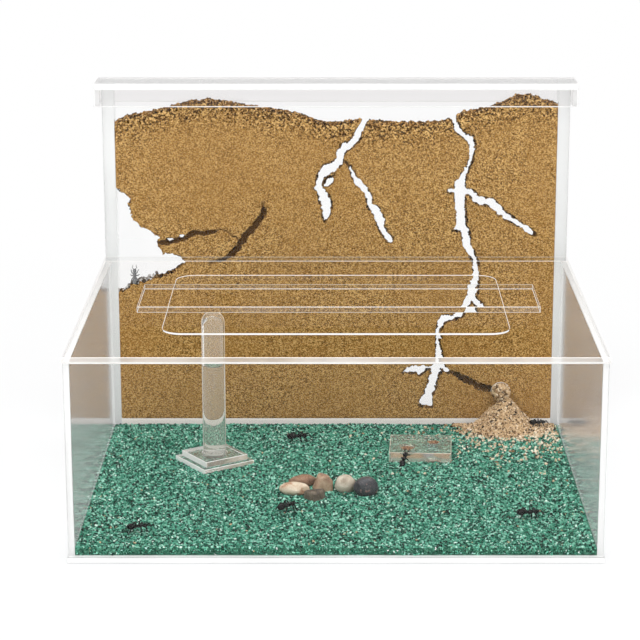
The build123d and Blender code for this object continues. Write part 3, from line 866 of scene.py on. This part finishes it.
def heapSpots():
    rng = random.Random(heap["seed"])
    low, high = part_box("sand_heap")
    heapTree, bedTree = castOn("sand_heap"), castOn("sand_bed")
    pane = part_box("nest_front_pane")[0].y
    spots = []
    while len(spots) < heap["grains"]:
        start = Vector((rng.uniform(low.x, high.x), rng.uniform(low.y, pane), high.z + 0.05))
        hit, normal, _, _ = heapTree.ray_cast(start, Vector((0, 0, -1)))
        if hit is not None and rng.random() < 0.35 + normal.z:
            spots.append(hit + normal * rng.uniform(-0.1, 0.35) * mm)
    for _ in range(heap["frontGrains"]):  # on the steep plug too
        start = Vector((rng.uniform(low.x, high.x), low.y - 0.05, rng.uniform(low.z, high.z)))
        hit, normal, _, _ = heapTree.ray_cast(start, Vector((0, 1, 0)))
        if hit is not None and hit.y < pane - 0.6 * mm:
            spots.append(hit + normal * rng.uniform(-0.1, 0.3) * mm)
    things = [castOn(node) for node in ("feeder_block", "stand_lower", "pebble_charcoal", "pebble_cream")]
    foot = Vector(((low.x + high.x) / 2, pane, 0))
    halfFoot = (high.x - low.x) / 2
    bedLow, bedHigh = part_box("sand_bed")
    strewn = []
    while len(strewn) < heap["apron"] + heap["scatter"]:
        far = abs(rng.gauss(0, heap["spread"])) * heap["reach"]
        if len(strewn) < heap["apron"]:
            far = halfFoot * 0.9 + abs(rng.gauss(0, 0.5)) * heap["apronReach"]
            angle = rng.uniform(math.pi, 2 * math.pi)
        else:
            angle = rng.triangular(math.pi, 2 * math.pi, heap["lean"] * math.pi)
        x = foot.x + far * math.cos(angle) * 1.1
        y = foot.y + far * math.sin(angle)
        inside = bedLow.x + mm < x < bedHigh.x - mm and bedLow.y + mm < y < bedHigh.y - mm
        if inside and not any(below(thing, x, y, 0.2) for thing in things):
            strewn.append(below(bedTree, x, y, 0.2) + Vector((0, 0, rng.uniform(*heap["lie"]))))
    return spots + strewn[:heap["apron"]], strewn[heap["apron"]:]


heapPiece()
piled, strewn = heapSpots()
grainsOn("heapGrains", piled, heap["grain"], 5, tanGrain)
grainsOn("strewnGrains", strewn, heap["grain"], 8, strewnLitGrain)
print("heap done")

# pebbles

pebbleForm = {"voxel": 0.3 * mm, "smoothing": 12, "dent": 0.5 * mm, "dentScale": 150.0, "grit": 0.05 * mm,
              "flats": 6, "flatAt": (0.84, 0.98), "flatness": 0.8}


def stone(node, seed):
    low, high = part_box(node)
    middle = np.array((low + high) / 2)
    half = np.array((high - low) / 2)
    mesh = remeshed(cadCopy(node), pebbleForm["voxel"], smoothing=pebbleForm["smoothing"])
    rng = random.Random(int(seed))
    at = points(mesh)
    for _ in range(pebbleForm["flats"]):  # worn flats
        way = np.array([rng.gauss(0, 1), rng.gauss(0, 1), abs(rng.gauss(0, 0.8))])
        way /= np.linalg.norm(way)
        reach = np.linalg.norm(way * half) * rng.uniform(*pebbleForm["flatAt"])
        over = ((at - middle) @ way - reach).clip(0, None)
        at -= way * over[:, None] * pebbleForm["flatness"]
    setPoints(mesh, at)
    out = normals(mesh)
    dents = noiseAt(at, pebbleForm["dentScale"], seed) * pebbleForm["dent"]
    grit = noiseAt(at, 1400.0, seed) * pebbleForm["grit"]
    at += out * (dents + grit)[:, None]
    at = middle + (at - middle).clip(-half, half)
    setPoints(mesh, at)
    return mesh


def stoneMaterial(name, stops, scale, roughness, flecks=None):
    material, tree = newMaterial(name)
    place = objectPlace(tree)
    colour = addRamp(tree, cloudsAt(tree, place, scale, 6.0, 0.62, 0.8), stops)
    if flecks:
        where = addRamp(tree, cloudsAt(tree, place, 520.0, 3.0), [(0.6, grey(0.0)), (0.68, grey(1.0))])
        colour = mixed(tree, where, colour, flecks)
    lift = raised(tree, cloudsAt(tree, place, 1500.0, 4.0), 0.3, 0.15 * mm)
    closeMaterial(tree, opaque(tree, colour, roughness, lift))
    return material


pebbleFinishes = {  # slot, scale of the veins, roughness, ramp and flecks
    "pebble_brown": ("pebble_brown", 160.0, 0.7,
        tones((0.35, 98, 74, 56), (0.5, 138, 104, 80), (0.65, 166, 132, 106)), None),
    "pebble_rose_white": ("pebble_rose_white", 190.0, 0.5,
        tones((0.38, 176, 132, 104), (0.48, 205, 180, 152), (0.62, 222, 208, 186)), None),
    "pebble_wedge": ("pebble_pink_brown", 170.0, 0.65,
        tones((0.35, 140, 110, 88), (0.5, 172, 142, 116), (0.65, 194, 168, 142)), None),
    "pebble_slate": ("pebble_grey", 150.0, 0.7,
        tones((0.35, 68, 58, 48), (0.5, 96, 84, 70), (0.68, 130, 116, 98)), None),
    "pebble_cream": ("pebble_cream", 120.0, 0.5,
        tones((0.35, 150, 134, 114), (0.48, 188, 174, 154), (0.65, 210, 200, 184)), None),
    "pebble_charcoal": ("pebble_charcoal", 220.0, 0.42,
        tones((0.35, 44, 44, 48), (0.55, 62, 62, 66), (0.7, 88, 86, 88)), linear(150, 116, 108)),
}
for number, (node, (slot, scale, roughness, stops, flecks)) in enumerate(pebbleFinishes.items()):
    finish = stoneMaterial("finish_" + node, stops, scale, roughness, flecks)
    addPiece("stone_" + node, stone(node, 3.0 * number + 1), [finish], "habitat", [node], smoothAngle=80)
print("pebbles done")

# drinker

drinker = {"turns": 72, "domeSteps": 12, "wall": 1.0 * mm, "domeWall": 2.4 * mm, "lip": 0.3 * mm,
           "meniscus": 1.1 * mm, "wetting": 0.03 * mm, "waterTint": linear(250, 251, 247),
           "moatWidth": 0.42 * mm, "moatDepth": 2.5 * mm, "filmAndEdgeShine": (0.06, 0.8),
           "lower": 1.2 * mm}  # the water's top under the node's


def spun(profile, centre):
    # a closed profile of (radius, height) points turned about the upright through centre
    bm = bmesh.new()
    verts = [bm.verts.new((radius, 0, height)) for radius, height in profile]
    edges = [bm.edges.new(pair) for pair in zip(verts, verts[1:])]
    if profile[0][0] > 1e-6:
        edges.append(bm.edges.new((verts[-1], verts[0])))
    bmesh.ops.spin(
        bm, geom=verts + edges, cent=(0, 0, 0), axis=(0, 0, 1), dvec=(0, 0, 0),
        angle=2 * math.pi, steps=drinker["turns"], use_merge=True, use_duplicate=False,
    )
    bmesh.ops.remove_doubles(bm, verts=bm.verts, dist=1e-6)
    bmesh.ops.recalc_face_normals(bm, faces=bm.faces)
    bmesh.ops.translate(bm, vec=centre, verts=bm.verts)
    return bm


def drinkerPieces():
    low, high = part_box("drinker_tube")
    centre = Vector(((low.x + high.x) / 2, (low.y + high.y) / 2, low.z))
    outer = (high.x - low.x) / 2
    inner = outer - drinker["wall"]
    height = high.z - low.z
    steps = drinker["domeSteps"]
    arc = [math.pi / 2 * step / steps for step in range(steps + 1)]
    outside = [(outer * math.cos(a), height - outer + outer * math.sin(a)) for a in arc]
    domeTop = height - drinker["domeWall"]
    inside = [(inner * math.cos(a), domeTop - inner + inner * math.sin(a)) for a in reversed(arc)]
    lip = drinker["lip"]
    straight = [(outer, height - outer - lip)], [(inner, domeTop - inner - lip)]  # keep the walls true
    profile = [(0, height)] + outside[-2::-1] + straight[0] + [
        (outer, lip), (outer - lip, 0), (inner + lip, 0), (inner, lip)
    ] + straight[1] + inside[-1:0:-1] + [(0, domeTop)]
    # the white along the tube's sides, seen along its surface, is a painted highlight
    glass = clearFace("tubeGlass", 1.45, linear(252, 253, 252), 0.02, drinker["filmAndEdgeShine"])
    addPiece("drinkerTube", spun(profile, centre), [glass], "drinker", ["drinker_tube"],
             smoothAngle=30)
    waterLow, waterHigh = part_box("drinker_water")
    radius = inner + drinker["wetting"]  # it wets the wall, with no air between
    level = waterHigh.z - waterLow.z - drinker["lower"]
    dip = drinker["meniscus"]
    curve = [(radius * s, level - dip + dip * s ** 4) for s in (0.95, 0.85, 0.7, 0.5, 0.25)]
    water = clearFace("waterClear", 1.3, drinker["waterTint"], 0.06)
    column = [(0, 0), (radius, 0), (radius, level)] + curve + [(0, level - dip)]
    addPiece("drinkerWater", spun(column, centre), [water], "drinker", ["drinker_water"],
             smoothAngle=50)
    near, far = outer + 0.04 * mm, outer + drinker["moatWidth"]
    deep = drinker["moatDepth"]
    foot, dent = 0.05 * mm, 0.15 * mm
    ring = [(near, foot), (far, foot), (far, deep), ((near + far) / 2, deep - dent), (near, deep)]
    addPiece("moatWater", spun(ring, centre), [water], "drinker_stand", smoothAngle=50)


drinkerPieces()
print("drinker done")

# seeds in the feeder


def seedFinish():
    material, tree = newMaterial("seedHusk")
    husk = cloudsAt(tree, objectPlace(tree), 700.0, 4.0, distortion=1.2)
    colour = addRamp(tree, husk, tones((0.3, 84, 50, 30), (0.5, 152, 106, 72), (0.68, 226, 198, 160)))
    closeMaterial(tree, opaque(tree, colour, 0.5, raised(tree, husk, 0.4, 0.1 * mm)))
    return material


feederSeeds = {"wells": ((-6.9, -5.5), (6.9, 5.5)), "turn": -3.0, "radius": 3.9 * mm, "count": 260,
               "length": (0.9 * mm, 1.5 * mm), "fullness": 2.9 * mm, "seed": 61}


def seedPile():
    # small husked seeds filling both wells
    rng = random.Random(feederSeeds["seed"])
    low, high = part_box("feeder_block")
    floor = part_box("feeder_seeds")[0].z
    middle = Vector(((low.x + high.x) / 2, (low.y + high.y) / 2, 0))
    turn = Matrix.Rotation(math.radians(feederSeeds["turn"]), 4, "Z")
    bm = bmesh.new()
    for wellX, wellY in feederSeeds["wells"]:
        centre = middle + turn @ Vector((wellX * mm, wellY * mm, 0))
        for _ in range(feederSeeds["count"]):
            length = rng.uniform(*feederSeeds["length"])
            room = feederSeeds["radius"] - length / 2
            away, angle = room * math.sqrt(rng.random()), rng.uniform(0, 2 * math.pi)
            rise = rng.uniform(length / 2, feederSeeds["fullness"] - length / 2)
            spot = Vector((centre.x + away * math.cos(angle), centre.y + away * math.sin(angle), floor + rise))
            lie = Matrix.Rotation(rng.uniform(0, math.pi), 4, "Z") @ Matrix.Rotation(rng.gauss(0, 0.4), 4, "Y")
            seed = Matrix.Diagonal((length / 2, length * 0.28, length * 0.22, 1))
            form = Matrix.Translation(spot) @ lie @ seed
            bmesh.ops.create_icosphere(bm, subdivisions=1, radius=1, matrix=form)
    return addPiece("seedPile", bm, [seedFinish()], "feeder", ["feeder_seeds"], smoothAngle=80)


seedPile()
print("seeds done")

# ants

ant = {
    "gaster": (-2.4, 1.55, 1.6, 1.05, 1.1),  # middle x, height, half length, half width, half height
    "waist": (-0.75, 1.25, 0.36, 0.3, 0.4),
    "thorax": (0.5, 1.55, 1.15, 0.6, 0.72),
    "head": (2.4, 1.65, 0.95, 0.85, 0.75),
    "legRoots": ((1.0, 0.3), (0.45, 0.32), (-0.2, 0.3)),  # x, y on the thorax
    "knees": ((1.8, 1.5, 2.4), (0.55, 1.7, 2.6), (-1.25, 1.6, 2.5)),
    "feet": ((2.9, 2.3, 0.05), (0.7, 2.7, 0.05), (-2.9, 2.5, 0.05)),
    "legThick": 0.36,
    "feelers": ((2.95, 0.3, 1.5), (3.9, 1.0, 2.0), (5.0, 0.7, 0.9)),
}


def antFinish(name, dark, light):
    material, tree = newMaterial(name)
    sheen = cloudsAt(tree, objectPlace(tree), 900.0, 3.0)
    colour = addRamp(tree, sheen, [(0.35, dark), (0.7, light)])
    closeMaterial(tree, opaque(tree, colour, 0.45, gloss=0.25))
    return material


def limb(bm, start, end, thick):
    start, end = Vector(start), Vector(end)
    along = end - start
    place = Matrix.Translation((start + end) / 2) @ along.to_track_quat("Z", "Y").to_matrix().to_4x4()
    bmesh.ops.create_cone(
        bm, cap_ends=True, segments=6, radius1=thick, radius2=thick * 0.7, depth=along.length, matrix=place
    )


def antPiece(name, place, heading, pitch=0.0, size=1.0, seed=0, finish=None, spread=1.0, body="habitat"):
    rng = random.Random(seed)
    bm = bmesh.new()
    for part in ("gaster", "waist", "thorax", "head"):
        x, z, length, width, height = ant[part]
        form = Matrix.Translation((x, 0, z)) @ Matrix.Diagonal((length, width, height, 1))
        bmesh.ops.create_icosphere(bm, subdivisions=3, radius=1, matrix=form)
    for side in (-1, 1):
        for (rootX, rootY), knee, foot in zip(ant["legRoots"], ant["knees"], ant["feet"]):
            sway = rng.uniform(-0.5, 0.5)
            root = (rootX, side * rootY, ant["thorax"][1] - 0.15)
            bent = (knee[0] + sway * 0.6, side * knee[1] * spread, knee[2])
            tip = (foot[0] + sway, side * foot[1] * spread, foot[2])
            limb(bm, root, bent, ant["legThick"])
            limb(bm, bent, tip, ant["legThick"] * 0.75)
        feeler = [(x, side * y, z) for x, y, z in ant["feelers"]]
        limb(bm, feeler[0], feeler[1], ant["legThick"] * 0.6)
        limb(bm, feeler[1], feeler[2], ant["legThick"] * 0.5)
    turn = Matrix.Rotation(math.radians(heading), 4, "Z") @ Matrix.Rotation(math.radians(-pitch), 4, "Y")
    stance = Matrix.Translation(place) @ turn @ Matrix.Scale(size * mm, 4)
    bmesh.ops.transform(bm, matrix=stance, verts=bm.verts)
    return addPiece(name, bm, [finish or antBlack], body, smoothAngle=60)


antBlack = antFinish("antBlack", linear(3, 3, 3), linear(12, 10, 9))
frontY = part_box("arena_front_wall")[0].y
ants = (  # x, depth, height above the bed, heading and size, in mm and degrees
    (-20.6, 166, 1.9, 8, 1.5),
    (-24.0, 52.0, 1.9, 42, 1.45),
    (-94.3, 24.0, 1.9, 10, 1.35),
    (93.3, 44.0, 1.9, 2, 1.5),
    (111.0, 193.0, 1.6, 4, 1.2),
)
bedTree = castOn("sand_bed")
for number, (x, depth, lift, heading, size) in enumerate(ants):
    ground = below(bedTree, x * mm, frontY + depth * mm, 0.2)
    antPiece(f"ant{number + 1}", ground + Vector((0, 0, lift * mm)), heading, 0.0, size, number)
blockLow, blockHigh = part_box("feeder_block")
antPiece("antOnFeeder", Vector((36.2 * mm, blockLow.y - 1.8 * mm, blockLow.z + 2.4 * mm)), 62, 48, 1.3, 9,
         spread=0.5, body="feeder")
# one more in the nest's side chamber, among crumbs
chamber = {"ant": (-109.8, 88.0), "crumbs": (-117.0, -96.0), "grain": (0.6 * mm, 1.5 * mm), "count": 120,
           "ceiling": 0.098, "seed": 71}
# the chamber's ant is painted mid grey instead of black: the pale veil of light from the pane in front of it,
# painted
antVeiledGrey = antFinish("antVeiledGrey", linear(112, 112, 114), linear(150, 150, 150))
gapLow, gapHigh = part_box("nest_sand")
antPiece("antInChamber", Vector((chamber["ant"][0] * mm, gapLow.y + 3.0 * mm, chamber["ant"][1] * mm)), 90, 88,
         1.2, 4, finish=antVeiledGrey, spread=0.75)


def crumbSpots():
    rng = random.Random(chamber["seed"])
    tree = BVHTree.FromObject(nestSandBody, bpy.context.evaluated_depsgraph_get())
    left, right = chamber["crumbs"]
    spots = []
    while len(spots) < chamber["count"]:
        x = rng.triangular(left, right, -110.0) * mm
        hit = below(tree, x, rng.uniform(gapLow.y + mm, gapHigh.y - mm), chamber["ceiling"])
        if hit is not None:
            spots.append(hit + Vector((0, 0, rng.uniform(0.1, 1.4) * mm)))
    return spots


crumbTones = tones((0.0, 70, 58, 48), (0.3, 130, 120, 112), (0.55, 176, 170, 164), (0.8, 214, 210, 206))
crumbGrain = grainMaterial("crumbGrain", crumbTones, 0.6, 0.08, 0.2)
grainsOn("chamberCrumbs", crumbSpots(), chamber["grain"], 6, crumbGrain)
print("ants done")

# floor, light and camera

studio = {
    "floorSize": 12.0,
    "floorGlow": 0.62,
    "fade": (0.16, 0.6),  # from here to there the floor pales to white
    "mirrorGlow": 0.35,  # of the floor in reflections
    "worldMirror": 0.85,
    "mirrorThrough": 0.2,  # of the sky in a reflection, seen through more sheet
    "floorColour": linear(236, 237, 238),
    "worldSoft": 0.62,
    "key": {"place": (-0.55, -1.0, 1.35), "size": 0.9, "power": 11.0},
    "fill": {"place": (0.95, -0.7, 0.9), "size": 1.0, "power": 5.0},
    "front": {"place": (-0.35, -1.7, 0.45), "size": 1.4, "power": 4.0},
    "top": {"place": (0.1, 0.25, 1.5), "size": 1.2, "power": 8.0},
}


def seenDirectly(tree, mirrored, dim=None):
    # 1 for what is looked at, through clear sheet too, and less in a reflection
    path = addNode(tree, "LightPath").outputs
    through = path["Is Transmission Ray"]
    if dim is not None:
        through = calc(tree, "MULTIPLY", through, dim)
    bounced = calc(tree, "MULTIPLY", path["Is Glossy Ray"], path["Is Reflection Ray"])
    straight = calc(tree, "MAXIMUM", path["Is Camera Ray"], through)
    return calc(tree, "MAXIMUM", straight, calc(tree, "MULTIPLY", bounced, mirrored))


def makeFloor():
    bm = bmesh.new()
    bmesh.ops.create_grid(bm, x_segments=2, y_segments=2, size=studio["floorSize"])
    mesh = meshOf(bm, "floor")
    floor = linked("floor", mesh)
    material, tree = newMaterial("paleFloor")
    paint = addNode(tree, "BsdfDiffuse", {"Color": studio["floorColour"]}).outputs[0]
    glow = addNode(tree, "Emission", {"Color": grey(1.0), "Strength": 1.0}).outputs[0]
    place = addNode(tree, "TexCoord").outputs["Object"]
    away = addNode(tree, "VectorMath", {0: place}, operation="LENGTH").outputs["Value"]
    fade = ranged(tree, away, *studio["fade"], studio["floorGlow"], 1.0)
    share = calc(tree, "MULTIPLY", seenDirectly(tree, studio["mirrorGlow"]), fade)
    closeMaterial(tree, eitherShader(tree, share, paint, glow))
    mesh.materials.append(material)


def makeWorld():
    world = bpy.data.worlds.new("studio")
    bpy.context.scene.world = world
    world.use_nodes = True
    tree = world.node_tree
    tree.nodes.clear()
    path = addNode(tree, "LightPath").outputs
    soft = calc(tree, "MULTIPLY", path["Is Diffuse Ray"], studio["worldSoft"])
    # the sky is dim where a reflection shows it through more sheet
    way = addNode(tree, "TexCoord").outputs["Generated"]
    upward = addNode(tree, "SeparateXYZ", {0: way}).outputs["Z"]
    sky = calc(tree, "GREATER_THAN", upward, 0.02)
    turned = calc(tree, "GREATER_THAN", path["Glossy Depth"], 0.5)
    dim = calc(tree, "MULTIPLY_ADD", calc(tree, "MULTIPLY", sky, turned), studio["mirrorThrough"] - 1, 1.0)
    strength = calc(tree, "MAXIMUM", seenDirectly(tree, studio["worldMirror"], dim), soft)
    light = addNode(tree, "Background", {"Color": grey(1.0), "Strength": strength})
    addNode(tree, "OutputWorld", {"Surface": light.outputs[0]})


def addLamp(name, place, size, power):
    lamp = bpy.data.lights.new(name, "AREA")
    lamp.shape = "SQUARE"
    lamp.size = size
    lamp.energy = power
    holder = linked(name, lamp)
    holder.location = place
    holder.rotation_mode = "QUATERNION"
    holder.rotation_quaternion = (Vector((0, 0, 0.08)) - Vector(place)).to_track_quat("-Z", "Y")


view = {
    "lens": 124.8,
    "sensor": 36.0,
    "place": (0.0, -1.0823, 0.3753),
    "pitch": 14.845,  # degrees below level
    "shiftX": -0.025,
}


def makeCamera():
    camera = bpy.data.cameras.new("camera")
    camera.lens = view["lens"]
    camera.sensor_width = view["sensor"]
    camera.shift_x = view["shiftX"]
    holder = linked("camera", camera)
    holder.location = view["place"]
    holder.rotation_euler = (math.radians(90 - view["pitch"]), 0, 0)
    bpy.context.scene.camera = holder


makeFloor()
makeWorld()
for lampName in ("key", "fill", "front", "top"):
    addLamp(lampName, **studio[lampName])
makeCamera()
bpy.context.scene.view_settings.view_transform = "Standard"
print("studio done")
